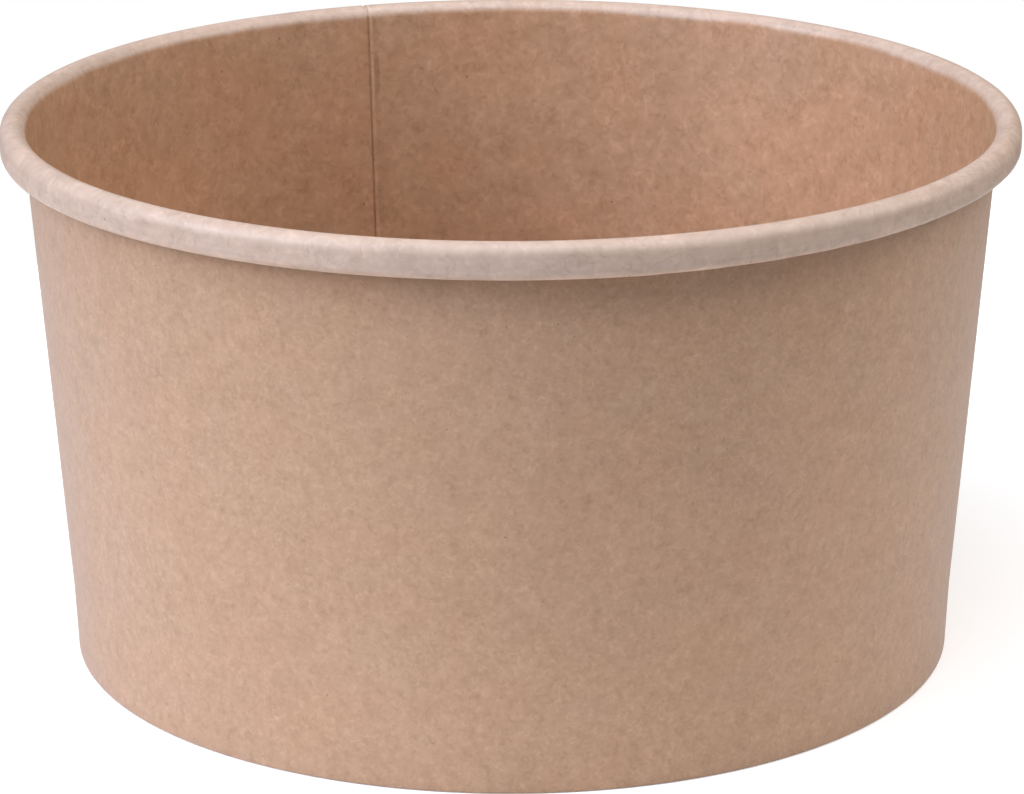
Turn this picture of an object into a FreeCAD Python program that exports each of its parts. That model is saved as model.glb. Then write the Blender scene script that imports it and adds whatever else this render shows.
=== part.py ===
import FreeCAD, Part
import math
import os
import Sketcher

# A compostable salad bowl: a round paperboard tub, wider at its rim than at its base.
#
# It is made of two pieces of lined kraft board, heat-sealed together.
#   side_wall    one curved blank, wrapped into a cone and lapped on itself at the side seam.
#                Its top edge is rolled outwards into the rim. Its bottom edge is folded
#                inwards and up into a hem.
#   bottom_disc  a round floor whose edge is turned down into a skirt. The skirt stands
#                between the wall and the hem, which grips it, and the floor hangs clear
#                of the table.
#
# The frame: the origin is the centre of the circle that the bowl stands on, +Z is up, and
# the cut edge that shows inside the bowl at the side seam lies in the half-plane of +Y.
# Each section below is drawn in a half-plane through the Z axis: sketch X is the distance
# from the axis and sketch Y is the height. Sizes are in millimetres.

SIZES = (
    ("rim_diameter", 150.0, "over the rolled rim"),
    ("bowl_height", 81.5, "from the table to the top of the rim"),
    ("base_diameter", 131.6, "outside of the wall, carried down to the table"),
    ("foot_spread", 1.3, "by which the outside of the wall widens from the table to the kink"),
    ("foot_margin", 1.35, "from the top of the floor up to the kink, where the wall leans more"),
    ("board_thickness", 0.45, "lined kraft board of the side wall"),
    ("floor_thickness", 0.45, "lined kraft board of the bottom disc and its skirt"),
    ("curl_width", 3.8, "rolled rim, across"),
    ("curl_height", 5.0, "rolled rim, from its underside to its top"),
    ("curl_gap", 0.1, "between the wall and the tail of the rim where the blank laps"),
    ("curl_tail", 1.2, "straight end of the rolled edge, up inside the rim"),
    ("fold_radius", 0.1, "inside of the two bends of the hem"),
    ("hem_clearance", 1.05, "from the cut edge of the hem up to the bend of the floor"),
    ("floor_height", 8.2, "from the table to the underside of the floor"),
    ("floor_bend_radius", 1.1, "top of the bend from the floor into the skirt"),
    ("seal_gap", 0.05, "melted lining on each side of the skirt, between wall and hem"),
    ("skirt_clearance", 0.15, "between the skirt and the fold below it at the lap"),
    ("lap_width", 8.0, "of the side seam, at the rim"),
    ("joggle_length", 2.0, "over which the blank steps behind or out of the lap, at the rim"),
)

SEAM_AZIMUTH = 90.0  # degrees from +X to +Y, where the inner cut edge of the seam lies

START, END, CENTRE = 1, 2, 3  # the points of a sketch line or arc
ORIGIN_POINT = (-1, 1)  # the sketch's origin, as edge and point
X_AXIS = -1  # the sketch's horizontal axis, which is the table

BENT = ("hem_bend", "foot_bend")  # bends towards the axis, drawn in the sheet's own sense
ROLLED = ("rim_top", "rim_under")  # rolls away from the axis, drawn against it


def write_sizes(doc):
    """The sheet of driving sizes: a name, its plain number and what it measures."""
    sheet = doc.addObject("Spreadsheet::Sheet", "sizes")
    for row, (name, value, meaning) in enumerate(SIZES, start=1):
        sheet.set(f"A{row}", name)
        sheet.set(f"B{row}", str(value))
        sheet.setAlias(f"B{row}", name)
        sheet.set(f"C{row}", meaning)
    doc.recompute()
    return sheet


# Sizes that follow from those in the sheet, in the sheet's own language.
FLOOR_TOP = "sizes.floor_height + sizes.floor_thickness"
KINK_RADIUS = "(sizes.base_diameter + sizes.foot_spread) / 2"
KINK_HEIGHT = f"{FLOOR_TOP} + sizes.foot_margin"
HEM_HEIGHT = f"{FLOOR_TOP} - sizes.floor_bend_radius - sizes.hem_clearance"
HEM_ROOM = "sizes.floor_thickness + 2 * sizes.seal_gap"
SKIRT_HEIGHT = "2 * sizes.board_thickness + sizes.skirt_clearance"
RIM_RADIUS = "sizes.curl_width / 2"
TAIL_RADIUS = "sizes.curl_width / 2 - sizes.board_thickness - sizes.curl_gap / 2"


class Wall:
    """Lines and centres that every section through the side wall shares.

    An offset is measured from the outer face of the single sheet, towards the axis.
    """

    def __init__(self, sheet):
        for name, _, _ in SIZES:
            setattr(self, name, float(sheet.get(name)))
        self.floor_top = self.floor_height + self.floor_thickness
        self.hem_height = self.floor_top - self.floor_bend_radius - self.hem_clearance
        self.skirt_height = 2 * self.board_thickness + self.skirt_clearance
        self.base = FreeCAD.Vector(self.base_diameter / 2, 0, 0)
        self.kink = FreeCAD.Vector(
            (self.base_diameter + self.foot_spread) / 2, self.floor_top + self.foot_margin, 0
        )
        self.foot_lean = math.atan2(self.kink.x - self.base.x, self.kink.y)
        self.foot_inward = inward(self.foot_lean)
        self.hem_room = self.floor_thickness + 2 * self.seal_gap

        self.rim_radius = self.curl_width / 2
        self.tail_radius = self.rim_radius - self.board_thickness - self.curl_gap / 2
        self.rim_centre = FreeCAD.Vector(
            self.rim_diameter / 2 - self.rim_radius, self.bowl_height - self.rim_radius, 0
        )
        self.tail_centre = FreeCAD.Vector(
            self.rim_diameter / 2 - self.tail_radius,
            self.bowl_height - self.curl_height + self.tail_radius,
            0,
        )
        # The upper wall runs from the kink and is tangent to the rim's roll.
        reach = self.rim_centre - self.kink
        outer_radius = self.rim_radius - self.board_thickness
        self.wall_lean = math.acos(outer_radius / reach.Length) - math.atan2(reach.y, reach.x)
        self.wall_inward = inward(self.wall_lean)

    def on_foot(self, offset, height):
        """The point of the foot, at an offset from its outer face, at a height."""
        along = (height - offset * math.sin(self.foot_lean)) / math.cos(self.foot_lean)
        run = FreeCAD.Vector(math.sin(self.foot_lean), math.cos(self.foot_lean), 0)
        return self.base + self.foot_inward * offset + run * along

    def on_kink(self, offset):
        """The corner between the foot and the upper wall, at an offset."""
        share = 1 + self.foot_inward.dot(self.wall_inward)
        return self.kink + (self.foot_inward + self.wall_inward) * (offset / share)


def inward(lean):
    """The unit normal, towards the axis, of a line that leans outwards by an angle."""
    return FreeCAD.Vector(-math.cos(lean), math.sin(lean), 0)


def line(start, end):
    return Part.LineSegment(start, end)


def arc(centre, radius, first_angle, last_angle):
    circle = Part.Circle(centre, FreeCAD.Vector(0, 0, 1), radius)
    return Part.ArcOfCircle(circle, first_angle, last_angle)


def new_body(doc, name):
    body = doc.addObject("PartDesign::Body", name)
    body.Label = name
    body.Placement = FreeCAD.Placement()
    return body


def radial_sketch(body, name, turn="0"):
    """A sketch in the half-plane through Z that is turned by an angle from the seam."""
    sketch = body.newObject("Sketcher::SketchObject", name)
    plane = next(f for f in body.Origin.OriginFeatures if f.Role == "XZ_Plane")
    sketch.AttachmentSupport = [(plane, "")]
    sketch.MapMode = "FlatFace"
    upright = FreeCAD.Vector(0, 1, 0)
    sketch.AttachmentOffset = FreeCAD.Placement(
        FreeCAD.Vector(), FreeCAD.Rotation(upright, SEAM_AZIMUTH)
    )
    sketch.setExpression("AttachmentOffset.Rotation.Angle", f"{SEAM_AZIMUTH} + ({turn})")
    return sketch


def bind(sketch, name, constraint, formula):
    """Adds a dimension under a name and ties it to the sheet."""
    sketch.addConstraint(constraint)
    sketch.renameConstraint(sketch.ConstraintCount - 1, name)
    sketch.setExpression(f"Constraints.{name}", formula)


def relate(sketch, kind, *where):
    sketch.addConstraint(Sketcher.Constraint(kind, *where))


def face_outline(wall, tuck, lift, thickness_share):
    """One face of the sheet, from the hem's cut edge to the rim's, as named edges.

    tuck is how far the sheet lies outside its usual place and lift is how far its fold
    stands off the table. thickness_share is 0 for the lined face, which looks at the
    food, and 1 for the bare face.
    """
    board = wall.board_thickness
    depth = thickness_share * board
    fold_height = lift + board + tuck + wall.fold_radius
    fold_radius = wall.fold_radius + tuck + depth
    rim_radius = wall.rim_radius - tuck - depth
    tail_radius = wall.tail_radius - tuck - depth
    wall_offset = board - tuck - depth
    hem_offset = board + wall.hem_room + tuck + depth
    foot_centre = wall.on_foot(board + wall.fold_radius, fold_height)
    hem_centre = wall.on_foot(board + wall.hem_room - wall.fold_radius, fold_height)
    below = FreeCAD.Vector(0, -1, 0)
    outward = FreeCAD.Vector(1, 0, 0)
    foot_turn = math.pi - wall.foot_lean
    wall_turn = math.pi - wall.wall_lean

    hem_top = wall.on_foot(hem_offset - depth, wall.hem_height) + wall.foot_inward * depth
    hem_low = hem_centre + wall.foot_inward * fold_radius
    foot_low = foot_centre - wall.foot_inward * fold_radius
    corner = wall.on_kink(wall_offset)
    wall_top = wall.rim_centre + wall.wall_inward * rim_radius
    tail_low = wall.tail_centre - outward * tail_radius
    tail_top = tail_low - below * wall.curl_tail
    return {
        "hem": line(hem_top, hem_low),
        "hem_bend": arc(hem_centre, fold_radius, foot_turn, 1.5 * math.pi),
        "land": line(hem_centre + below * fold_radius, foot_centre + below * fold_radius),
        "foot_bend": arc(foot_centre, fold_radius, -0.5 * math.pi, -wall.foot_lean),
        "foot": line(foot_low, corner),
        "wall": line(corner, wall_top),
        "rim_top": arc(wall.rim_centre, rim_radius, 0, wall_turn),
        "rim_side": line(
            wall.rim_centre + outward * rim_radius, wall.tail_centre + outward * tail_radius
        ),
        "rim_under": arc(wall.tail_centre, tail_radius, math.pi, 2 * math.pi),
        "tail": line(tail_low, tail_top),
    }


def join_along(sketch, face):
    """Joins the edges of one face end to end, smoothly but for the kink in the wall."""
    names = list(face)
    for before, after in zip(names, names[1:]):
        last = START if before in ROLLED else END
        first = END if after in ROLLED else START
        kind = "Coincident" if (before, after) == ("foot", "wall") else "Tangent"
        relate(sketch, kind, face[before], last, face[after], first)


def sheet_section(body, wall, name, turn, tucked=False, lifted=False):
    """The closed section of one thickness of the side wall's board.

    tucked: the sheet lies one thickness further out, behind the sheet that laps it.
    lifted: its fold stands one thickness off the table, on the fold of the other sheet.
    """
    sketch = radial_sketch(body, name, turn)
    board = wall.board_thickness
    tuck, tuck_size = (board, "sizes.board_thickness") if tucked else (0.0, "0")
    lift, lift_size = (board, "sizes.board_thickness") if lifted else (0.0, "0")

    lined, bare = [
        {edge: sketch.addGeometry(shape) for edge, shape in outline.items()}
        for outline in (
            face_outline(wall, tuck, lift, thickness_share=0),
            face_outline(wall, tuck, lift, thickness_share=1),
        )
    ]
    join_along(sketch, lined)
    join_along(sketch, bare)
    for bend in BENT + ROLLED:
        relate(sketch, "Coincident", lined[bend], CENTRE, bare[bend], CENTRE)

    # The two cut edges of the board, square to it.
    for edge, point in (("hem", START), ("tail", END)):
        ends = [
            getattr(sketch.Geometry[face[edge]], "StartPoint" if point == START else "EndPoint")
            for face in (lined, bare)
        ]
        cut = sketch.addGeometry(line(*ends))
        relate(sketch, "Coincident", cut, START, lined[edge], point)
        relate(sketch, "Coincident", cut, END, bare[edge], point)
        relate(sketch, "Perpendicular", cut, lined[edge])

    # The hem runs beside the foot, with room for the skirt between them.
    relate(sketch, "Parallel", bare["hem"], bare["foot"])
    for edge in ("hem", "foot", "wall"):
        relate(sketch, "Parallel", lined[edge], bare[edge])
    relate(sketch, "Horizontal", bare["land"])
    relate(sketch, "Equal", lined["hem_bend"], lined["foot_bend"])
    relate(sketch, "Equal", bare["hem_bend"], bare["foot_bend"])
    relate(sketch, "Vertical", lined["rim_side"])
    relate(sketch, "Vertical", lined["tail"])
    relate(sketch, "Vertical", bare["tail"])

    # The wall's own surface, given by its outside at the table and at the kink. A tucked
    # sheet has its lined face there, and any other sheet its bare face.
    outside = lined if tucked else bare
    at_table = sketch.addGeometry(Part.Point(wall.base), True)
    relate(sketch, "PointOnObject", at_table, START, X_AXIS)
    relate(sketch, "PointOnObject", at_table, START, outside["foot"])
    height, across, radius = "DistanceY", "DistanceX", "Radius"
    kink = (outside["foot"], END)
    for label, kind, where, value, formula in (
        ("base_radius", across, (at_table, START), wall.base.x, "sizes.base_diameter / 2"),
        ("kink_radius", across, kink, wall.kink.x, KINK_RADIUS),
        ("kink_height", height, kink, wall.kink.y, KINK_HEIGHT),
        ("rim_centre_radius", across, (lined["rim_top"], CENTRE), wall.rim_centre.x,
         f"sizes.rim_diameter / 2 - {RIM_RADIUS}"),
        ("rim_centre_height", height, (lined["rim_top"], CENTRE), wall.rim_centre.y,
         f"sizes.bowl_height - {RIM_RADIUS}"),
        ("under_centre_height", height, (lined["rim_under"], CENTRE), wall.tail_centre.y,
         f"sizes.bowl_height - sizes.curl_height + {TAIL_RADIUS}"),
        ("hem_top_height", height, (lined["hem"], START), wall.hem_height, HEM_HEIGHT),
    ):
        constraint = Sketcher.Constraint(kind, *ORIGIN_POINT, *where, value)
        bind(sketch, label, constraint, formula)
    bind(
        sketch, "tail_length",
        Sketcher.Constraint("DistanceY", lined["tail"], START, lined["tail"], END, wall.curl_tail),
        "sizes.curl_tail",
    )
    hem_room = wall.hem_room + 2 * tuck
    bind(
        sketch, "hem_room",
        Sketcher.Constraint("Distance", lined["hem"], END, lined["foot"], hem_room),
        f"{HEM_ROOM} + 2 * {tuck_size}",
    )
    for face, face_name, share in ((lined, "lined", 0), (bare, "bare", 1)):
        depth = share * board
        through = f"{tuck_size} + {share} * sizes.board_thickness"
        bind(
            sketch, f"{face_name}_fold_radius",
            Sketcher.Constraint(radius, face["hem_bend"], wall.fold_radius + tuck + depth),
            f"sizes.fold_radius + {through}",
        )
        bind(
            sketch, f"{face_name}_rim_radius",
            Sketcher.Constraint(radius, face["rim_top"], wall.rim_radius - tuck - depth),
            f"{RIM_RADIUS} - ({through})",
        )
        bind(
            sketch, f"{face_name}_under_radius",
            Sketcher.Constraint(radius, face["rim_under"], wall.tail_radius - tuck - depth),
            f"{TAIL_RADIUS} - ({through})",
        )
    # The fold's lined face is a board's thickness above its lift, so that distance is
    # never zero.
    bind(
        sketch, "fold_height",
        Sketcher.Constraint("DistanceY", *ORIGIN_POINT, lined["land"], START, lift + board),
        f"{lift_size} + sizes.board_thickness",
    )
    return sketch


def revolve(body, name, sketch, degrees, clockwise=False):
    """Turns a section about Z, anticlockwise seen from above unless told otherwise."""
    feature = body.newObject("PartDesign::Revolution", name)
    feature.Profile = sketch
    feature.ReferenceAxis = (sketch, ["V_Axis"])
    feature.Reversed = clockwise
    feature.setExpression("Angle", degrees)
    return feature


def loft(body, name, first, last):
    """The stretch of board between two sections."""
    feature = body.newObject("PartDesign::AdditiveLoft", name)
    feature.Profile = first
    feature.Sections = [last]
    feature.Ruled = True
    return feature


def make_side_wall(doc, wall):
    """The wrapped blank: round from one side of the seam to the other, then the lap.

    Seen from above and going clockwise through the seam: the sheet steps out by its own
    thickness, runs on behind the other end of the blank to its cut edge outside, and that
    other end, which starts at the cut edge inside, steps down to the table again.
    """
    body = new_body(doc, "side_wall")
    degrees_per_mm = "360 / (pi * sizes.rim_diameter)"
    lap = f"sizes.lap_width * {degrees_per_mm}"
    joggle = f"sizes.joggle_length * {degrees_per_mm}"

    before_seam = sheet_section(body, wall, "sheet_before_seam", joggle)
    tucked = sheet_section(body, wall, "sheet_behind_lap", "0", tucked=True)
    lapping = sheet_section(body, wall, "sheet_over_lap", f"-{lap}", lifted=True)
    after_seam = sheet_section(body, wall, "sheet_after_seam", f"-{lap} - {joggle}")
    doc.recompute()

    revolve(body, "round_wall", before_seam, f"360 - {lap} - 2 * {joggle}")
    loft(body, "step_out", before_seam, tucked)
    revolve(body, "outer_ply_of_lap", tucked, lap, clockwise=True)
    revolve(body, "inner_ply_of_lap", lapping, lap)
    loft(body, "step_down", lapping, after_seam)
    return body


def make_bottom_disc(doc, wall):
    """The floor and its skirt, which is sealed in the room between the foot and the hem."""
    body = new_body(doc, "bottom_disc")
    sketch = radial_sketch(body, "disc_section")
    skirt = wall.floor_thickness
    offset = wall.board_thickness + wall.seal_gap
    underside = wall.floor_height
    top = wall.floor_top
    bend = wall.floor_bend_radius
    low = wall.skirt_height

    centre = wall.on_foot(offset + bend, top - bend)
    skirt_top = centre - wall.foot_inward * bend
    skirt_low = wall.on_foot(offset, low)
    inner_low = skirt_low + wall.foot_inward * skirt
    inner_top = centre - wall.foot_inward * (bend - skirt)
    up = FreeCAD.Vector(0, 1, 0)
    shapes = (
        ("axis", line(up * underside, up * top)),
        ("floor_top", line(up * top, centre + up * bend)),
        ("top_bend", arc(centre, bend, -wall.foot_lean, 0.5 * math.pi)),
        ("skirt_outside", line(skirt_top, skirt_low)),
        ("skirt_edge", line(skirt_low, inner_low)),
        ("skirt_inside", line(inner_low, inner_top)),
        ("under_bend", arc(centre, bend - skirt, -wall.foot_lean, 0.5 * math.pi)),
        ("floor_underside", line(centre + up * (bend - skirt), up * underside)),
    )
    edge = {name: sketch.addGeometry(shape) for name, shape in shapes}
    foot = sketch.addGeometry(line(wall.base, wall.kink), True)

    relate(sketch, "Coincident", edge["axis"], END, edge["floor_top"], START)
    relate(sketch, "Tangent", edge["floor_top"], END, edge["top_bend"], END)
    relate(sketch, "Tangent", edge["top_bend"], START, edge["skirt_outside"], START)
    relate(sketch, "Coincident", edge["skirt_outside"], END, edge["skirt_edge"], START)
    relate(sketch, "Coincident", edge["skirt_edge"], END, edge["skirt_inside"], START)
    relate(sketch, "Tangent", edge["skirt_inside"], END, edge["under_bend"], START)
    relate(sketch, "Tangent", edge["under_bend"], END, edge["floor_underside"], START)
    relate(sketch, "Coincident", edge["floor_underside"], END, edge["axis"], START)
    relate(sketch, "Coincident", edge["top_bend"], CENTRE, edge["under_bend"], CENTRE)
    relate(sketch, "PointOnObject", edge["axis"], START, -2)
    relate(sketch, "Vertical", edge["axis"])
    relate(sketch, "Horizontal", edge["floor_top"])
    relate(sketch, "Horizontal", edge["floor_underside"])
    relate(sketch, "Perpendicular", edge["skirt_edge"], edge["skirt_outside"])
    relate(sketch, "Parallel", edge["skirt_outside"], foot)
    relate(sketch, "Parallel", edge["skirt_inside"], foot)
    relate(sketch, "PointOnObject", foot, START, X_AXIS)
    for label, kind, where, value, formula in (
        ("base_radius", "DistanceX", (foot, START), wall.base.x, "sizes.base_diameter / 2"),
        ("kink_radius", "DistanceX", (foot, END), wall.kink.x, KINK_RADIUS),
        ("kink_height", "DistanceY", (foot, END), wall.kink.y, KINK_HEIGHT),
        ("underside_height", "DistanceY", (edge["axis"], START), underside,
         "sizes.floor_height"),
        ("top_height", "DistanceY", (edge["axis"], END), top, FLOOR_TOP),
        ("skirt_low_height", "DistanceY", (edge["skirt_outside"], END), low, SKIRT_HEIGHT),
    ):
        constraint = Sketcher.Constraint(kind, *ORIGIN_POINT, *where, value)
        bind(sketch, label, constraint, formula)
    bind(
        sketch, "skirt_offset",
        Sketcher.Constraint("Distance", edge["skirt_outside"], START, foot, offset),
        "sizes.board_thickness + sizes.seal_gap",
    )
    bind(
        sketch, "top_bend_radius",
        Sketcher.Constraint("Radius", edge["top_bend"], bend),
        "sizes.floor_bend_radius",
    )
    doc.recompute()
    revolve(body, "round_disc", sketch, "360")
    return body


def check(doc, bodies):
    """Stops on any failed feature, open sketch or bad solid, before a file is written."""
    for item in doc.Objects:
        if {"Invalid", "Error"} & set(item.State):
            raise RuntimeError(f"{item.Label} failed: {item.State}")
        if item.isDerivedFrom("Sketcher::SketchObject") and item.solve() != 0:
            raise RuntimeError(f"{item.Label} has constraints that don't agree")
    for body in bodies:
        shape = body.Shape
        if shape.isNull() or not shape.isValid() or len(shape.Solids) != 1:
            raise RuntimeError(f"{body.Label} isn't one valid solid")


def main():
    doc = FreeCAD.newDocument("salad_bowl")
    wall = Wall(write_sizes(doc))
    bodies = [make_side_wall(doc, wall), make_bottom_disc(doc, wall)]
    doc.recompute()
    check(doc, bodies)
    os.makedirs("parts", exist_ok=True)
    for body in bodies:
        body.Shape.exportStep(f"parts/{body.Label}.step")
        print(body.Label, "volume", round(body.Shape.Volume, 1), "mm3")


main()
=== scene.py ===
"""The looks of a compostable salad bowl: a wrapped, rolled and hemmed kraft side wall round
a pressed floor disc.

Everything is in metres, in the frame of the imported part: the bowl stands on z = 0 with its
axis on z, and its side seam is at +Y.
"""

import math

import bmesh
import bpy
from mathutils import Matrix, Vector


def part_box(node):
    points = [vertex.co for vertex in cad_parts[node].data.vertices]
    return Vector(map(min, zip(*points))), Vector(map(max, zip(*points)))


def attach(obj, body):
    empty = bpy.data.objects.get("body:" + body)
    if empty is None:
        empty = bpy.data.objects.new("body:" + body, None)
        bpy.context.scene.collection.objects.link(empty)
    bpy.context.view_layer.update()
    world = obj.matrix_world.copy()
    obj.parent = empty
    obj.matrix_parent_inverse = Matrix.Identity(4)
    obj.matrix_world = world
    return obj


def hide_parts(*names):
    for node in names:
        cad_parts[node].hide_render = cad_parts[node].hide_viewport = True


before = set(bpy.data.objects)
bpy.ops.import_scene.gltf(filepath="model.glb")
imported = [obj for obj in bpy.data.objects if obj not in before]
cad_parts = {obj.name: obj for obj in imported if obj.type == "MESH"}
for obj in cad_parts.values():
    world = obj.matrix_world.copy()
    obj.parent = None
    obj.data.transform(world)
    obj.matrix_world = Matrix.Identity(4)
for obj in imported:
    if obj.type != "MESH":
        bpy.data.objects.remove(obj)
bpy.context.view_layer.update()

# ---------------------------------------------------------------- sizes, in metres

MM = 0.001
WALL_LOW, WALL_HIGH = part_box("side_wall")
DISC_LOW, DISC_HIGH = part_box("bottom_disc")

RIM_RADIUS = -WALL_LOW.x
BOWL_HEIGHT = WALL_HIGH.z
FLOOR_TOP = DISC_HIGH.z
SKIRT_LOW = DISC_LOW.z

BOARD = 0.45 * MM
PRESSED = 0.33 * MM                 # each ply of the side seam, squeezed as it is sealed
PLY_GAP = 0.01 * MM                 # between the two plies of the seam
BASE_RADIUS = 66.0 * MM             # outside of the wall at the table
KINK_RADIUS = 66.45 * MM            # outside of the wall where the foot ends
KINK_HEIGHT = FLOOR_TOP + 1.35 * MM
FOLD_RADIUS = 0.08 * MM             # inside the fold under the foot
HEM_ROOM = 0.55 * MM                # between foot and hem, for the floor's skirt
HEM_TOP = 6.5 * MM
KNURL_COLUMNS = 2                   # columns in each rib and each hollow of the knurled hem
KNURL_PRESS = 0.2 * MM
KNURL_LOW = 1.2 * MM                # the ribs go from here
KNURL_TOP = HEM_TOP - 1.0 * MM
CURL_RADIUS = 1.9 * MM              # lined face over the top of the rolled rim
CURL_HEIGHT = 5.08 * MM
UNDER_RADIUS = 1.25 * MM            # lined face round the underside of the rolled rim
TAIL = 1.2 * MM                     # last straight stretch, hidden in the roll
ROLL_LOW = BOWL_HEIGHT - CURL_HEIGHT - 0.5 * MM     # just below the roll
ROLL_HALF = BOWL_HEIGHT - 3.2 * MM                  # about half way up its outer side
ROLL_INSIDE = RIM_RADIUS - 3.0 * MM                 # between the wall and that side
ROLL_BELOW = BOWL_HEIGHT - 7.0 * MM                 # well below the roll

SEAM_AZIMUTH = math.radians(90.0)   # the inner ply's cut edge
LAP = math.radians(6.112)
STEP_DOWN = math.radians(1.528)     # the inner ply's fold comes down to the table over this
STEP_OUT = math.radians(0.35)       # the sheet steps out behind the inner ply over this
SEAM_GAP = math.radians(0.21)       # between that step and the inner ply's cut edge
EDGE_PRESS = 0.1 * MM               # how far that cut edge is pressed outwards
THINNEST = 0.15 * MM                # the inner ply in the rolled rim
SHALLOW_AZIMUTH = math.radians(-48.85)          # where the roll is a little shallower
SHALLOW_SECTORS = (45.0, 38.0, 31.0, 24.0, 17.0, 10.0)  # degrees to either side of that
SHALLOW_STEP = 0.06 * MM            # the roll's underside is higher by this in each of them

FLOOR_BOARD = 0.45 * MM
SKIRT_GAP = 0.05 * MM
FLOOR_BEND = 1.1 * MM
FLAT_RADIUS = 60.0 * MM

WALL_COLUMNS = 351
INNER_COLUMNS = 20                  # in the seam's inner ply
OUTER_COLUMNS = 10                  # and behind it
STEP_DOWN_CUTS = 5
STEP_OUT_CUTS = 3
FLOOR_COLUMNS = 360
WALL_STRETCHES = 16                 # up the leaning wall
FOOT_STRETCHES = 5
FOLD_STEPS = 4
ROLL_STEPS = 14
FLOOR_STEPS = 6
SMOOTH_ANGLE = math.radians(35.0)

BARE_COLOUR = (0.470, 0.288, 0.178, 1.0)
LINED_COLOUR = (0.437, 0.258, 0.153, 1.0)
RIM_COLOUR = (0.548, 0.407, 0.325, 1.0)
EDGE_COLOUR = (0.54, 0.38, 0.27, 1.0)
SHIVE_COLOUR = (0.16, 0.09, 0.055, 1.0)
PATCH_TINT = (1.045, 0.98, 0.93, 1.0)           # slow patches of a warmer tone
BOUNCE_LIGHT_TINT = (1.17, 1.12, 1.05)                 # painted light: the roll's underside made a little lighter, for the table's light it catches
SHEEN_TINT = (0.86, 0.93, 1.0, 1.0)             # the fuzz on the bare face
BOARD_IOR = 1.45

PULP_LAYERS = (                     # scale a metre, octaves above it, roughness, strength
    (45.0, 1.0, 0.5, 0.12),
    (170.0, 1.0, 0.7, 0.28),
    (520.0, 1.0, 0.8, 0.56),
    (1500.0, 1.0, 0.7, 0.50),
)
PALE_FIBRES = (920.0, 0.085, 760.0)             # scale a metre, width, scale of the gaps
DARK_FIBRES = (860.0, 0.08, 700.0)
PALE_FIBRE = 0.21                   # how much lighter and darker the fibres are
DARK_FIBRE = 0.2
FIBRE_RELIEF = 0.35                 # how far the pale ones stand up
GREYING = 0.35                      # the pattern's shades are this much greyer than the board
PATCH_SCALE = 100.0
SPECKS = (480.0, 0.8, 0.08)                     # scale a metre, share of cells, size in cells
SHIVES = (260.0, 0.5, 0.035)
SHIVE_STRETCH = 0.16                # a shive is long and upright: its scale on z
SPOT_STRENGTH = 0.6

MARK_X = 1.0 * MM                   # the sealing jaw's faint mark beside the seam
MARK_WIDTH = 1.0 * MM
MARK_DEPTH = 0.22
WORN_SCALE = 130.0                  # the places where it is worn away
STRIP_X = 0.33 * MM                 # painted highlight: the paler strip where the inner ply's pressed edge catches the light
STRIP_WIDTH = 0.4 * MM
PAINTED_HIGHLIGHT_GAIN = 0.12
GROOVE_X = -0.18 * MM               # painted shade: the darker bottom of the groove beside that edge
GROOVE_WIDTH = 0.34 * MM
GROOVE_SHADE_DEPTH = 0.14
MARK_REACH = 14.0 * MM              # the jaw mark and the painted highlight strip are plain this far down from the rim
MARK_FADE = 4.0 * MM                # and fainter from this much further down
MARK_FAINT = 0.35

PALE_FULL = 0.8 * MM                # inside, the board is stretched pale down to here
PALE_END = 1.9 * MM                 # and it has its plain colour from here down
PALE_WANDER = 1.6 * MM              # how unevenly
WANDER_SCALE = 60.0
STREAK_SCALE = 1300.0               # streaks round the stretched board
STREAK_LENGTH = 0.12                # their scale along the rim, as a share of that up it
STREAK_ACROSS = 0.7                 # and their scale across the top of the rim
STREAK_SWING = 0.24
BOUNCE_LIGHT_FULL = 4.7 * MM               # painted light on the roll's underside: full this far down from the rim
BOUNCE_LIGHT_END = 3.7 * MM
LINED_GRAIN = 0.57                  # the lined face's pattern is coarser: its scale

TABLE_SIZE = 0.44
TABLE_GREY = (0.8, 0.8, 0.8, 1.0)
TABLE_GLOW = 0.33                   # what brings that grey up to white for the camera
WHITE = (1.0, 1.0, 1.0, 1.0)
SURROUND_LIGHT = 0.1
LAMP_DISTANCE = 1.2
COOL_LIGHT = (0.95, 1.01, 1.17)
WARM_LIGHT = (1.05, 1.0, 0.94)
TOP_LIGHT = (0.96, 1.0, 1.07)
PLAIN_LIGHT = (1.0, 1.0, 1.0)
SOFTBOXES = (                       # azimuth, elevation, size, strength, colour
    ("left softbox", -72.0, 35.0, 0.9, 0.68, COOL_LIGHT),
    ("small left softbox", -60.0, 25.0, 0.6, 0.38, COOL_LIGHT),
    ("right softbox", 94.0, 36.0, 0.75, 0.48, WARM_LIGHT),
    ("overhead softbox", 10.0, 73.0, 1.1, 0.79, TOP_LIGHT),
    ("underside softbox", 0.0, -70.0, 0.9, 0.45, PLAIN_LIGHT),
)

CAMERA_AZIMUTH = -18.85             # in degrees
CAMERA_ELEVATION = 17.829
CAMERA_ROLL = -0.1398
CAMERA_DISTANCE = 636.28 * MM
CAMERA_TARGET = Vector((0.085, -0.029, 36.607)) * MM
CAMERA_LENS = 148.434               # in millimetres, as the sensor
SENSOR_WIDTH = 36.0


# ---------------------------------------------------------------- drawing and selecting

def upright(azimuth, point):
    """The place of a (radius, height) point in the upright plane at this azimuth."""
    return Vector((point[0] * math.cos(azimuth), point[0] * math.sin(azimuth), point[1]))


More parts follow.
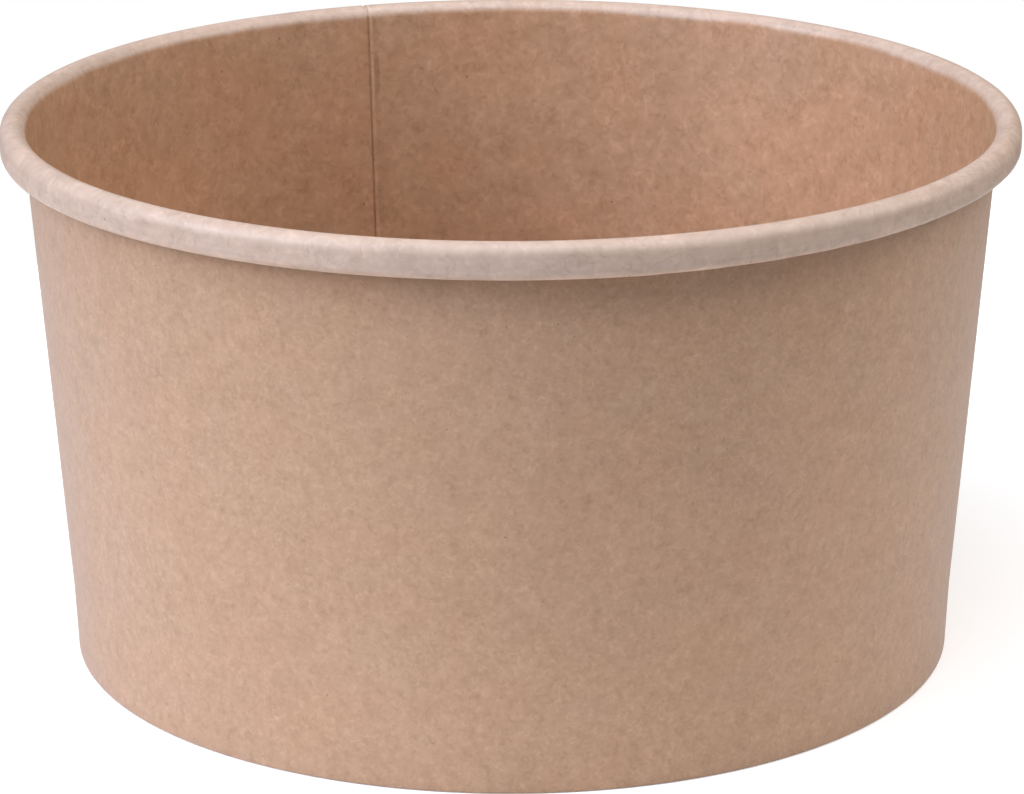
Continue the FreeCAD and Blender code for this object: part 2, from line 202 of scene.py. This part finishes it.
class BoardLine:
    """A line drawn out in edit mode, one stretch or bend after another, in an upright
    plane through the axis. Points are (radius, height)."""

    def __init__(self, name, azimuth, start):
        """Starts a line at a point."""
        self.azimuth = azimuth
        self.tangent = (-math.sin(azimuth), math.cos(azimuth), 0.0)
        bpy.ops.object.select_all(action="DESELECT")
        bpy.ops.mesh.primitive_plane_add(size=BOARD, location=upright(azimuth, start))
        bpy.ops.object.transform_apply(location=True)
        self.piece = bpy.context.object
        self.piece.name = name
        bpy.ops.object.mode_set(mode="EDIT")
        bpy.ops.mesh.select_all(action="SELECT")
        bpy.ops.mesh.merge(type="CENTER")
        self.here = Vector(start)

    def straight(self, point, stretches=1):
        """Draws on to a point, in equal stretches."""
        step = (Vector(point) - self.here) / stretches
        for _ in range(stretches):
            move = upright(self.azimuth, step)
            bpy.ops.mesh.extrude_vertices_move(TRANSFORM_OT_translate={"value": move})
        self.here = Vector(point)

    def bend(self, centre, angle, steps):
        """Draws on round a centre. A positive angle goes from the left by the bottom."""
        bpy.ops.mesh.spin(
            steps=steps, angle=angle, center=upright(self.azimuth, centre), axis=self.tangent
        )
        arm = self.here - Vector(centre)
        self.here = Vector(centre) + Matrix.Rotation(angle, 2) @ arm

    def wrap(self, sweep, columns):
        """Wraps the line round the axis towards decreasing azimuth and ends edit mode."""
        bpy.ops.mesh.select_all(action="SELECT")
        bpy.ops.mesh.spin(steps=columns, angle=sweep, center=(0, 0, 0), axis=(0, 0, 1))
        bpy.ops.object.mode_set(mode="OBJECT")
        return self.piece


def only(*pieces):
    """Makes these the only selected objects, with the first one active."""
    bpy.ops.object.select_all(action="DESELECT")
    for piece in pieces:
        piece.select_set(True)
    bpy.context.view_layer.objects.active = pieces[0]


def pick(piece, test):
    """Selects, in edit mode, the vertices whose place passes a test."""
    bpy.ops.mesh.select_all(action="DESELECT")
    mesh = bmesh.from_edit_mesh(piece.data)
    for vertex in mesh.verts:
        vertex.select_set(test(vertex.co))
    mesh.select_flush_mode()
    bmesh.update_edit_mesh(piece.data)


def add_to_group(piece, name, test, weight=1.0):
    """Puts the vertices whose place passes a test into a vertex group."""
    group = piece.vertex_groups.get(name) or piece.vertex_groups.new(name=name)
    group.add([v.index for v in piece.data.vertices if test(v.co)], weight, "REPLACE")


def apply_modifiers(piece):
    """Applies a piece's modifiers in their order."""
    only(piece)
    for modifier in list(piece.modifiers):
        bpy.ops.object.modifier_apply(modifier=modifier.name)


# ---------------------------------------------------------------- the side wall

FOOT_LEAN = math.atan2(KINK_RADIUS - BASE_RADIUS, KINK_HEIGHT)
FOOT_IN = Vector((-math.cos(FOOT_LEAN), math.sin(FOOT_LEAN)))
FOOT_UP = Vector((math.sin(FOOT_LEAN), math.cos(FOOT_LEAN)))
CURL_CENTRE = Vector((RIM_RADIUS - CURL_RADIUS, BOWL_HEIGHT - CURL_RADIUS))
UNDER_CENTRE = Vector((RIM_RADIUS - UNDER_RADIUS, BOWL_HEIGHT - CURL_HEIGHT + UNDER_RADIUS))


def wall_lean():
    """The upper wall's lean: from the kink it touches the roll's bare face."""
    reach = CURL_CENTRE - Vector((KINK_RADIUS, KINK_HEIGHT))
    touch = math.asin((CURL_RADIUS - BOARD) / reach.length)
    return math.atan2(reach.x, reach.y) - touch


WALL_LEAN = wall_lean()
WALL_IN = Vector((-math.cos(WALL_LEAN), math.sin(WALL_LEAN)))


def on_foot(depth, height):
    """The point at a height, a depth in from the outside of the foot."""
    start = Vector((BASE_RADIUS, 0.0)) + FOOT_IN * depth
    return start + FOOT_UP * ((height - start.y) / FOOT_UP.y)


def kink_at(depth):
    """Where foot and upper wall meet, a depth in from the outside."""
    corner = Vector((KINK_RADIUS, KINK_HEIGHT))
    half = 0.5 * (WALL_LEAN - FOOT_LEAN)
    middle = 0.5 * (WALL_LEAN + FOOT_LEAN)
    return corner + Vector((-math.cos(middle), math.sin(middle))) * depth / math.cos(half)


def wrap_sheet(name, azimuth, sweep, columns, board=BOARD, tuck=0.0, roll_tuck=0.0, lift=0.0):
    """The lined face of the wall's board, drawn from the hem's cut edge to the end of the
    rolled rim and wrapped round.

    tuck, roll_tuck: how much further out than the wall the sheet lies, and in the roll.
    lift: how far its fold stands off the table.
    """
    depth = BOARD - tuck
    bend = FOLD_RADIUS + tuck
    room = HEM_ROOM + 2 * tuck
    land = board + lift
    quarter = 0.5 * math.pi
    hem_bend = on_foot(depth + room - bend, land + bend)
    foot_bend = on_foot(depth + bend, land + bend)
    curl = CURL_RADIUS - roll_tuck
    under = UNDER_RADIUS - roll_tuck

    line = BoardLine(name, azimuth, on_foot(depth + room, HEM_TOP))
    line.straight(hem_bend + FOOT_IN * bend, stretches=FOOT_STRETCHES)
    line.bend(hem_bend, quarter + FOOT_LEAN, steps=FOLD_STEPS)
    line.straight(foot_bend + Vector((0.0, -bend)))
    line.bend(foot_bend, quarter - FOOT_LEAN, steps=FOLD_STEPS)
    line.straight(kink_at(depth), stretches=FOOT_STRETCHES)
    line.straight(CURL_CENTRE + WALL_IN * curl, stretches=WALL_STRETCHES)
    line.bend(CURL_CENTRE, WALL_LEAN - math.pi, steps=ROLL_STEPS)
    line.straight(UNDER_CENTRE + Vector((under, 0.0)), stretches=2)
    line.bend(UNDER_CENTRE, -math.pi, steps=ROLL_STEPS)
    line.straight(UNDER_CENTRE + Vector((-under, TAIL)))
    return line.wrap(sweep, columns)


def in_column(azimuth):
    """A test for the places at an azimuth."""
    turn = Vector((math.cos(azimuth), math.sin(azimuth)))
    return lambda place: turn.dot(place.xy.normalized()) > 1 - 1e-6


def ease_roll(sheet):
    """Makes the rolled rim a little shallower over one side, as it is rolled unevenly."""
    towards = Vector((math.cos(SHALLOW_AZIMUTH), math.sin(SHALLOW_AZIMUTH)))
    only(sheet)
    bpy.ops.object.mode_set(mode="EDIT")
    for half_width in SHALLOW_SECTORS:
        edge = math.cos(math.radians(half_width))
        pick(sheet, lambda place: (
            ROLL_LOW < place.z < ROLL_HALF
            and place.xy.length > ROLL_INSIDE
            and towards.dot(place.xy.normalized()) > edge
        ))
        bpy.ops.transform.translate(value=(0.0, 0.0, SHALLOW_STEP))
    bpy.ops.object.mode_set(mode="OBJECT")


def knurl_hem(sheet, azimuth, column):
    """Presses ribs into the upright hem, in every other group of columns, as the tool that
    seals it does."""
    deepest = on_foot(BOARD + 0.5 * HEM_ROOM, 0.0).x

    def in_rib(place):
        """A test for the places on the hem that are in a rib."""
        number = round(((azimuth - math.atan2(place.y, place.x)) % (2 * math.pi)) / column)
        on_hem = place.xy.length < deepest and KNURL_LOW < place.z < KNURL_TOP
        return on_hem and number // KNURL_COLUMNS % 2 == 1

    only(sheet)
    bpy.ops.object.mode_set(mode="EDIT")
    pick(sheet, in_rib)
    shrink = 1.0 - KNURL_PRESS / BASE_RADIUS
    bpy.ops.transform.resize(value=(shrink, shrink, 1.0), center_override=(0.0, 0.0, 0.0))
    bpy.ops.object.mode_set(mode="OBJECT")


def make_wrapped_wall():
    """The side wall: one sheet whose end steps out and runs behind its start."""
    lap_end = SEAM_AZIMUTH - LAP
    round_start = lap_end - STEP_DOWN
    step_start = SEAM_AZIMUTH + SEAM_GAP
    round_end = step_start + STEP_OUT
    behind = PRESSED + PLY_GAP
    inner = wrap_sheet(
        "wrapped_wall", SEAM_AZIMUTH, LAP, INNER_COLUMNS, board=PRESSED, lift=behind
    )
    sweep = 2 * math.pi - (round_end - round_start)
    main = wrap_sheet("round", round_start, sweep, WALL_COLUMNS)
    knurl_hem(main, round_start, sweep / WALL_COLUMNS)
    ease_roll(main)
    outer = wrap_sheet(
        "outer_ply", step_start, LAP + SEAM_GAP, OUTER_COLUMNS, board=PRESSED, tuck=behind,
        roll_tuck=THINNEST + PLY_GAP,
    )
    squeeze = BOARD - THINNEST
    at_edge = in_column(SEAM_AZIMUTH)
    for ply in (inner, outer):
        add_to_group(ply, "squeezed", lambda place: True, (BOARD - PRESSED) / squeeze)
    add_to_group(inner, "squeezed", at_edge, (BOARD - PRESSED + EDGE_PRESS) / squeeze)
    add_to_group(inner, "squeezed", lambda place: place.z > ROLL_LOW)
    add_to_group(inner, "step down", in_column(lap_end))
    add_to_group(main, "step down", in_column(round_start))
    add_to_group(main, "step out", in_column(round_end))
    add_to_group(outer, "step out", in_column(step_start))

    only(inner)
    bpy.ops.object.mode_set(mode="EDIT")
    pick(inner, lambda place: at_edge(place) and KINK_HEIGHT + MM < place.z < ROLL_LOW)
    swell = 1.0 + EDGE_PRESS / BASE_RADIUS
    bpy.ops.transform.resize(value=(1.0, swell, 1.0), center_override=(0.0, 0.0, 0.0))
    bpy.ops.object.mode_set(mode="OBJECT")

    only(inner, main, outer)
    bpy.ops.object.join()
    wall = inner
    bpy.ops.object.mode_set(mode="EDIT")
    for group, cuts in (("step down", STEP_DOWN_CUTS), ("step out", STEP_OUT_CUTS)):
        bpy.ops.mesh.select_all(action="DESELECT")
        wall.vertex_groups.active = wall.vertex_groups[group]
        bpy.ops.object.vertex_group_select()
        bpy.ops.mesh.bridge_edge_loops(number_cuts=cuts, interpolation="LINEAR")
    bpy.ops.mesh.select_all(action="SELECT")
    bpy.ops.mesh.normals_make_consistent(inside=False)
    bpy.ops.object.mode_set(mode="OBJECT")
    thicken(wall, BOARD, thinnest=THINNEST)
    return wall


def thicken(piece, board, thinnest=None):
    """Gives a lined face its board: bare face behind it and cut edges round it. The board
    goes down to its thinnest where it was squeezed."""
    only(piece)
    solid = piece.modifiers.new("board", "SOLIDIFY")
    solid.thickness = board
    solid.offset = -1.0
    solid.use_even_offset = True
    solid.use_quality_normals = True
    solid.material_offset = 1
    solid.material_offset_rim = 2
    if thinnest:
        solid.vertex_group = "squeezed"
        solid.invert_vertex_group = True
        solid.thickness_vertex_group = thinnest / board
    for material in (lined_kraft, bare_kraft, cut_edge):
        piece.data.materials.append(material)
    apply_modifiers(piece)
    bpy.ops.object.shade_smooth_by_angle(angle=SMOOTH_ANGLE)
    piece.vertex_groups.clear()


# ---------------------------------------------------------------- the floor disc

def make_floor_disc():
    """The floor: a flat disc whose edge is drawn down into a skirt."""
    depth = BOARD + SKIRT_GAP
    centre = on_foot(depth + FLOOR_BEND, FLOOR_TOP - FLOOR_BEND)
    line = BoardLine("floor_disc", 0.0, on_foot(depth, SKIRT_LOW))
    line.straight(centre - FOOT_IN * FLOOR_BEND, stretches=3)
    line.bend(centre, 0.5 * math.pi + FOOT_LEAN, steps=FLOOR_STEPS)
    line.straight((FLAT_RADIUS, FLOOR_TOP), stretches=2)
    disc = line.wrap(2 * math.pi, FLOOR_COLUMNS)
    only(disc)
    bpy.ops.object.mode_set(mode="EDIT")
    pick(disc, lambda place: place.xy.length < FLAT_RADIUS + 0.1 * MM)
    bpy.ops.mesh.fill_grid(span=FLOOR_COLUMNS // 4)
    bpy.ops.mesh.select_all(action="SELECT")
    bpy.ops.mesh.normals_make_consistent(inside=False)
    bpy.ops.object.mode_set(mode="OBJECT")
    thicken(disc, FLOOR_BOARD)
    return disc


# ---------------------------------------------------------------- material nodes

def add_node(tree, kind, inputs=None, **settings):
    """A node with its settings, and its inputs given values or links by name or number."""
    node = tree.nodes.new(kind)
    for name, value in settings.items():
        setattr(node, name, value)
    for name, value in (inputs or {}).items():
        if isinstance(value, bpy.types.NodeSocket):
            tree.links.new(value, node.inputs[name])
        else:
            node.inputs[name].default_value = value
    return node


def calculate(tree, operation, first, second=0.0):
    """The result of one sum on values or sockets."""
    inputs = {0: first, 1: second}
    return add_node(tree, "ShaderNodeMath", inputs, operation=operation).outputs[0]


def ramp(tree, value, low, high, start=0.0, end=1.0):
    """A smooth step of a value from start to end, between low and high."""
    inputs = {
        "Value": value, "From Min": low, "From Max": high, "To Min": start, "To Max": end
    }
    node = add_node(tree, "ShaderNodeMapRange", inputs, interpolation_type="SMOOTHSTEP")
    return node.outputs["Result"]


def band(tree, value, centre, width, strength):
    """A soft band of a strength, where a value is near a centre."""
    aside = calculate(tree, "ABSOLUTE", calculate(tree, "SUBTRACT", value, centre))
    return ramp(tree, aside, 0.25 * width, 0.6 * width, strength, 0.0)


def blend(tree, factor, first, second, blend_type="MIX"):
    """Two colours mixed by a factor."""
    node = add_node(
        tree, "ShaderNodeMix", {0: factor, 6: first, 7: second},
        data_type="RGBA", blend_type=blend_type,
    )
    return node.outputs[2]


def noise_value(tree, place, scale, detail=2.0, roughness=0.5, distortion=0.0):
    """Cloudy noise at a scale a metre, about 0.5."""
    inputs = {
        "Vector": place, "Scale": scale, "Detail": detail, "Roughness": roughness,
        "Distortion": distortion,
    }
    return add_node(tree, "ShaderNodeTexNoise", inputs).outputs["Fac"]


def new_group(name, inputs, outputs):
    """A shader node group with its sockets, and its input and output nodes."""
    tree = bpy.data.node_groups.new(name, "ShaderNodeTree")
    kinds = {"value": "NodeSocketFloat", "colour": "NodeSocketColor", "place": "NodeSocketVector"}
    for socket, kind in inputs.items():
        tree.interface.new_socket(socket, in_out="INPUT", socket_type=kinds[kind])
    for socket, kind in outputs.items():
        tree.interface.new_socket(socket, in_out="OUTPUT", socket_type=kinds[kind])
    return tree, tree.nodes.new("NodeGroupInput").outputs, tree.nodes.new("NodeGroupOutput")


def shift(tree, place, offset, stretch=(1.0, 1.0, 1.0)):
    """The place moved and stretched, so that a layer has a pattern of its own."""
    inputs = {"Vector": place, "Location": offset, "Scale": stretch}
    return add_node(tree, "ShaderNodeMapping", inputs).outputs["Vector"]


def swing(tree, value, strength):
    """A noise value as a swing about nought."""
    centred = calculate(tree, "SUBTRACT", value, 0.5)
    return calculate(tree, "MULTIPLY", centred, strength)


def fibre_lines(tree, place, scale, width, gap_scale):
    """Thin wandering lines, broken up into single fibres, as a mask."""
    field = noise_value(tree, place, scale, detail=1.0, distortion=0.4)
    from_line = calculate(tree, "ABSOLUTE", calculate(tree, "SUBTRACT", field, 0.5))
    line = ramp(tree, from_line, 0.0, width, 1.0, 0.0)
    gaps = noise_value(tree, shift(tree, place, (0.31, 0.17, 0.53)), gap_scale, detail=1.0)
    return calculate(tree, "MULTIPLY", line, ramp(tree, gaps, 0.44, 0.6))


def flecks(tree, place, scale, share, size):
    """Sparse round specks as a mask: a share of the cells has one, up to a size in cells."""
    cells = add_node(tree, "ShaderNodeTexVoronoi", {"Vector": place, "Scale": scale})
    random = add_node(tree, "ShaderNodeSeparateColor", {"Color": cells.outputs["Color"]})
    chosen = calculate(tree, "GREATER_THAN", random.outputs["Red"], 1.0 - share)
    reach = calculate(tree, "MULTIPLY", random.outputs["Green"], size)
    inside = calculate(tree, "SUBTRACT", reach, cells.outputs["Distance"])
    return calculate(tree, "MULTIPLY", chosen, ramp(tree, inside, 0.0, 0.3 * size))


def build_pulp():
    """The kraft board's pulp: cloudy and mottled, with fibres and small dark shives."""
    tree, given, out = new_group(
        "kraft pulp",
        {"Place": "place", "Board": "colour", "Shive": "colour", "Mottle": "value",
         "Drift": "value"},
        {"Colour": "colour", "Relief": "value"},
    )
    place = given["Place"]
    shade = 0.0
    for number, (scale, octaves, roughness, strength) in enumerate(PULP_LAYERS):
        layer = noise_value(
            tree, shift(tree, place, (0.1 * number, 0.03, 0.07)), scale, octaves, roughness
        )
        shade = calculate(tree, "ADD", swing(tree, layer, strength), shade)
    relief = layer

    pale = fibre_lines(tree, place, *PALE_FIBRES)
    dark = fibre_lines(tree, shift(tree, place, (0.13, 0.57, 0.29)), *DARK_FIBRES)
    shade = calculate(tree, "ADD", shade, calculate(tree, "MULTIPLY", pale, PALE_FIBRE))
    shade = calculate(tree, "SUBTRACT", shade, calculate(tree, "MULTIPLY", dark, DARK_FIBRE))
    shade = calculate(tree, "MULTIPLY", shade, given["Mottle"])
    grey = add_node(tree, "ShaderNodeRGBToBW", {"Color": given["Board"]}).outputs[0]
    lit = add_node(tree, "ShaderNodeVectorMath", {
        0: blend(tree, GREYING, given["Board"], grey), 1: shade, 2: given["Board"],
    }, operation="MULTIPLY_ADD").outputs[0]

    patches = noise_value(tree, shift(tree, place, (0.7, 0.2, 0.9)), PATCH_SCALE)
    patchy = calculate(tree, "MULTIPLY", ramp(tree, patches, 0.36, 0.64), given["Drift"])
    colour = blend(tree, patchy, lit, PATCH_TINT, "MULTIPLY")

    specks = flecks(tree, place, *SPECKS)
    slim = shift(tree, place, (0.41, 0.11, 0.0), (1.0, 1.0, SHIVE_STRETCH))
    shives = flecks(tree, slim, *SHIVES)
    spots = calculate(tree, "MAXIMUM", specks, shives)
    spots = calculate(tree, "MULTIPLY", spots, SPOT_STRENGTH)
    colour = blend(tree, spots, colour, given["Shive"])

    relief = calculate(tree, "ADD", relief, calculate(tree, "MULTIPLY", pale, FIBRE_RELIEF))
    tree.links.new(colour, out.inputs["Colour"])
    tree.links.new(relief, out.inputs["Relief"])
    return tree


def new_material(name):
    """An empty node material with its output, ready for one surface."""
    material = bpy.data.materials.new(name)
    material.use_nodes = True
    tree = material.node_tree
    tree.nodes.clear()
    return material, tree, tree.nodes.new("ShaderNodeOutputMaterial")


def pulp_in(tree, place, board, mottle, drift):
    """The kraft pulp group, placed in a material with its own values."""
    inputs = {
        "Place": place, "Board": board, "Shive": SHIVE_COLOUR, "Mottle": mottle, "Drift": drift,
    }
    outputs = add_node(tree, "ShaderNodeGroup", inputs, node_tree=pulp).outputs
    return outputs["Colour"], outputs["Relief"]


def bumped(tree, height, strength=0.2, distance=0.03 * MM):
    """A normal from a height."""
    inputs = {"Height": height, "Strength": strength, "Distance": distance}
    return add_node(tree, "ShaderNodeBump", inputs).outputs["Normal"]


def make_bare_kraft():
    """The uncoated outside of the wall and underside of the floor."""
    material, tree, out = new_material("bare kraft")
    place = tree.nodes.new("ShaderNodeTexCoord").outputs["Object"]
    colour, relief = pulp_in(tree, place, BARE_COLOUR, mottle=0.5, drift=0.42)
    shader = add_node(tree, "ShaderNodeBsdfPrincipled", {
        "Base Color": colour, "Roughness": 0.85, "IOR": BOARD_IOR,
        "Normal": bumped(tree, relief),
        "Sheen Weight": 0.3, "Sheen Roughness": 0.5, "Sheen Tint": SHEEN_TINT,
    })
    tree.links.new(shader.outputs[0], out.inputs["Surface"])
    return material


def stretched_board(tree, place, height, radius):
    """A mask of the rolled rim, where the board is stretched: all of the roll's outer side,
    and the top of its inner side down to an uneven edge."""
    outer_side = calculate(
        tree, "MULTIPLY",
        ramp(tree, radius, ROLL_INSIDE, ROLL_INSIDE + 0.4 * MM),
        ramp(tree, height, ROLL_BELOW - 1.0 * MM, ROLL_BELOW + 1.0 * MM),
    )
    uneven = swing(tree, noise_value(tree, place, WANDER_SCALE), PALE_WANDER)
    inner_side = ramp(
        tree, calculate(tree, "ADD", height, uneven), BOWL_HEIGHT - PALE_END,
        BOWL_HEIGHT - PALE_FULL,
    )
    return calculate(tree, "MAXIMUM", outer_side, inner_side)


def stretch_streaks(tree, parts, radius, stretched):
    """Streaks round the rim where the board is stretched, as a swing about nought."""
    across = calculate(tree, "MULTIPLY", radius, STREAK_ACROSS)
    round_rim = add_node(tree, "ShaderNodeCombineXYZ", {
        "X": calculate(tree, "MULTIPLY", parts["X"], STREAK_LENGTH),
        "Y": calculate(tree, "MULTIPLY", parts["Y"], STREAK_LENGTH),
        "Z": calculate(tree, "ADD", across, parts["Z"]),
    }).outputs[0]
    streaks = swing(tree, noise_value(tree, round_rim, STREAK_SCALE), STREAK_SWING)
    return calculate(tree, "MULTIPLY", streaks, stretched)


def seam_shades(tree, place, parts, stretched):
    """The seam's painted highlight on the inner ply's edge, the painted shade in the groove
    beside it and the sealing jaw's mark on the lined face, as a swing about nought."""
    jaw_mark = band(tree, parts["X"], MARK_X, MARK_WIDTH, MARK_DEPTH)
    worn = noise_value(tree, shift(tree, place, (0.5, 0.2, 0.1)), WORN_SCALE)
    jaw_mark = calculate(tree, "MULTIPLY", jaw_mark, ramp(tree, worn, 0.36, 0.56))
    # painted highlight on the inner ply's pressed edge
    strip = band(tree, parts["X"], STRIP_X, STRIP_WIDTH, PAINTED_HIGHLIGHT_GAIN)
    shades = calculate(tree, "SUBTRACT", strip, jaw_mark)
    plain_low = BOWL_HEIGHT - MARK_REACH
    faint = ramp(tree, parts["Z"], plain_low - MARK_FADE, plain_low, MARK_FAINT, 1.0)
    shades = calculate(tree, "MULTIPLY", shades, faint)
    # painted shade in the groove beside the inner ply's edge
    groove = band(tree, parts["X"], GROOVE_X, GROOVE_WIDTH, GROOVE_SHADE_DEPTH)
    groove = calculate(tree, "MULTIPLY", groove, ramp(tree, stretched, 0.0, 1.0, 1.0, 0.0))
    shades = calculate(tree, "SUBTRACT", shades, groove)
    seam_side = calculate(tree, "GREATER_THAN", parts["Y"], FLAT_RADIUS)
    above_floor = ramp(tree, parts["Z"], FLOOR_TOP, FLOOR_TOP + 2.0 * MM)
    seam_side = calculate(tree, "MULTIPLY", seam_side, above_floor)
    return calculate(tree, "MULTIPLY", shades, seam_side)


def make_lined_kraft():
    """The lined inside of the bowl, which also shows over the rolled rim, where the board is
    stretched, paler and a little glossier, with painted light on the roll's underside."""
    material, tree, out = new_material("lined kraft")
    place = tree.nodes.new("ShaderNodeTexCoord").outputs["Object"]
    parts = add_node(tree, "ShaderNodeSeparateXYZ", {"Vector": place}).outputs
    flat = add_node(tree, "ShaderNodeCombineXYZ", {"X": parts["X"], "Y": parts["Y"]}).outputs[0]
    radius = add_node(tree, "ShaderNodeVectorMath", {0: flat}, operation="LENGTH")
    radius = radius.outputs["Value"]
    stretched = stretched_board(tree, place, parts["Z"], radius)

    coarser = shift(tree, place, (0.0, 0.0, 0.0), (LINED_GRAIN, LINED_GRAIN, LINED_GRAIN))
    colour, relief = pulp_in(
        tree, coarser, blend(tree, stretched, LINED_COLOUR, RIM_COLOUR),
        mottle=ramp(tree, stretched, 0.0, 1.0, 0.62, 0.46),
        drift=ramp(tree, stretched, 0.0, 1.0, 0.75, 0.3),
    )
    streaks = stretch_streaks(tree, parts, radius, stretched)
    shade = calculate(tree, "ADD", streaks, seam_shades(tree, place, parts, stretched))
    shade = calculate(tree, "ADD", shade, 1.0)
    colour = add_node(
        tree, "ShaderNodeVectorMath", {0: colour, "Scale": shade}, operation="SCALE"
    ).outputs[0]
    bounce_lit_colour = add_node(
        tree, "ShaderNodeVectorMath", {0: colour, 1: BOUNCE_LIGHT_TINT}, operation="MULTIPLY"
    ).outputs[0]
    # painted light: the roll's underside is lighter, standing in for the table's bounce light
    painted_bounce_light = calculate(
        tree, "MULTIPLY", stretched,
        ramp(tree, parts["Z"], BOWL_HEIGHT - BOUNCE_LIGHT_FULL, BOWL_HEIGHT - BOUNCE_LIGHT_END, 1.0, 0.0),
    )
    shader = add_node(tree, "ShaderNodeBsdfPrincipled", {
        "Base Color": blend(tree, painted_bounce_light, colour, bounce_lit_colour), "IOR": BOARD_IOR,
        "Roughness": ramp(tree, stretched, 0.0, 1.0, 0.55, 0.45),
        "Normal": bumped(tree, relief),
    })
    tree.links.new(shader.outputs[0], out.inputs["Surface"])
    return material


def make_cut_edge():
    """The board's raw cut edges."""
    material, tree, out = new_material("cut edge")
    place = tree.nodes.new("ShaderNodeTexCoord").outputs["Object"]
    colour, relief = pulp_in(tree, place, EDGE_COLOUR, mottle=1.0, drift=0.0)
    shader = add_node(tree, "ShaderNodeBsdfPrincipled", {
        "Base Color": colour, "Roughness": 0.95,
        "Normal": bumped(tree, relief, strength=0.5, distance=0.05 * MM),
    })
    tree.links.new(shader.outputs[0], out.inputs["Surface"])
    return material


# ---------------------------------------------------------------- floor, light and camera

def turned(azimuth, elevation):
    """The direction towards a place seen from the bowl: azimuth 0 is the camera's side and
    positive is to its right, in degrees."""
    turn = math.radians(CAMERA_AZIMUTH + azimuth)
    rise = math.radians(elevation)
    flat = math.cos(rise)
    return Vector((math.sin(turn) * flat, -math.cos(turn) * flat, math.sin(rise)))


def make_table():
    """A white board for a table. It keeps the bowl's soft shadow, and it is clear from below
    and right under the bowl, so that the underside can be seen and lit."""
    bpy.ops.object.select_all(action="DESELECT")
    bpy.ops.mesh.primitive_plane_add(size=TABLE_SIZE, location=(0.0, 0.0, 0.0))
    table = bpy.context.object
    table.name = "table"
    material, tree, out = new_material("white table")
    diffuse = add_node(tree, "ShaderNodeBsdfDiffuse", {"Color": TABLE_GREY})
    glow = add_node(tree, "ShaderNodeEmission", {"Color": WHITE, "Strength": TABLE_GLOW})
    both = add_node(tree, "ShaderNodeAddShader", {0: diffuse.outputs[0], 1: glow.outputs[0]})
    clear = tree.nodes.new("ShaderNodeBsdfTransparent").outputs[0]
    seen = tree.nodes.new("ShaderNodeLightPath").outputs["Is Camera Ray"]
    geometry = tree.nodes.new("ShaderNodeNewGeometry").outputs
    from_axis = add_node(
        tree, "ShaderNodeVectorMath", {0: geometry["Position"]}, operation="LENGTH"
    ).outputs["Value"]
    under_bowl = calculate(tree, "LESS_THAN", from_axis, BASE_RADIUS - BOARD - FOLD_RADIUS)
    hidden = calculate(tree, "MAXIMUM", geometry["Backfacing"], under_bowl)
    upper = add_node(tree, "ShaderNodeMixShader", {
        0: seen, 1: diffuse.outputs[0], 2: both.outputs[0],
    })
    shown = add_node(tree, "ShaderNodeMixShader", {0: hidden, 1: upper.outputs[0], 2: clear})
    tree.links.new(shown.outputs[0], out.inputs["Surface"])
    table.data.materials.append(material)


def add_softbox(name, azimuth, elevation, size, strength, colour):
    """A square area lamp facing the bowl. At strength 1 it lights white to about white."""
    lamp = bpy.data.lights.new(name, "AREA")
    lamp.shape = "SQUARE"
    lamp.size = size
    lamp.energy = strength * (math.pi * LAMP_DISTANCE) ** 2
    lamp.color = colour
    softbox = bpy.data.objects.new(name, lamp)
    bpy.context.scene.collection.objects.link(softbox)
    towards = turned(azimuth, elevation)
    softbox.location = Vector((0.0, 0.0, 0.5 * BOWL_HEIGHT)) + towards * LAMP_DISTANCE
    softbox.rotation_euler = towards.to_track_quat("Z", "Y").to_euler()


def light_studio():
    """Soft plain light, strongest from the left, with a white surround for the camera."""
    for softbox in SOFTBOXES:
        add_softbox(*softbox)
    world = bpy.data.worlds.new("white surround")
    bpy.context.scene.world = world
    world.use_nodes = True
    tree = world.node_tree
    tree.nodes.clear()
    seen = tree.nodes.new("ShaderNodeLightPath").outputs["Is Camera Ray"]
    background = add_node(tree, "ShaderNodeBackground", {
        "Color": WHITE, "Strength": ramp(tree, seen, 0.0, 1.0, SURROUND_LIGHT, 1.0),
    })
    out = tree.nodes.new("ShaderNodeOutputWorld")
    tree.links.new(background.outputs[0], out.inputs["Surface"])


def set_camera():
    """The camera, looking at the middle of the bowl from a little above."""
    data = bpy.data.cameras.new("camera")
    data.sensor_width = SENSOR_WIDTH
    data.lens = CAMERA_LENS
    data.clip_start = 0.05
    camera = bpy.data.objects.new("camera", data)
    bpy.context.scene.collection.objects.link(camera)
    back = turned(0.0, CAMERA_ELEVATION)
    facing = (
        Matrix.Rotation(math.radians(CAMERA_AZIMUTH), 4, "Z")
        @ Matrix.Rotation(math.radians(90.0 - CAMERA_ELEVATION), 4, "X")
        @ Matrix.Rotation(math.radians(CAMERA_ROLL), 4, "Z")
    )
    camera.matrix_world = Matrix.Translation(CAMERA_TARGET + back * CAMERA_DISTANCE) @ facing
    bpy.context.scene.camera = camera


# ---------------------------------------------------------------- the bowl

pulp = build_pulp()
lined_kraft = make_lined_kraft()
bare_kraft = make_bare_kraft()
cut_edge = make_cut_edge()

wrapped_wall = make_wrapped_wall()
floor_disc = make_floor_disc()

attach(wrapped_wall, "root")
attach(floor_disc, "root")
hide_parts("side_wall")
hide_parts("bottom_disc")

make_table()
light_studio()
set_camera()
bpy.context.scene.view_settings.view_transform = "Standard"
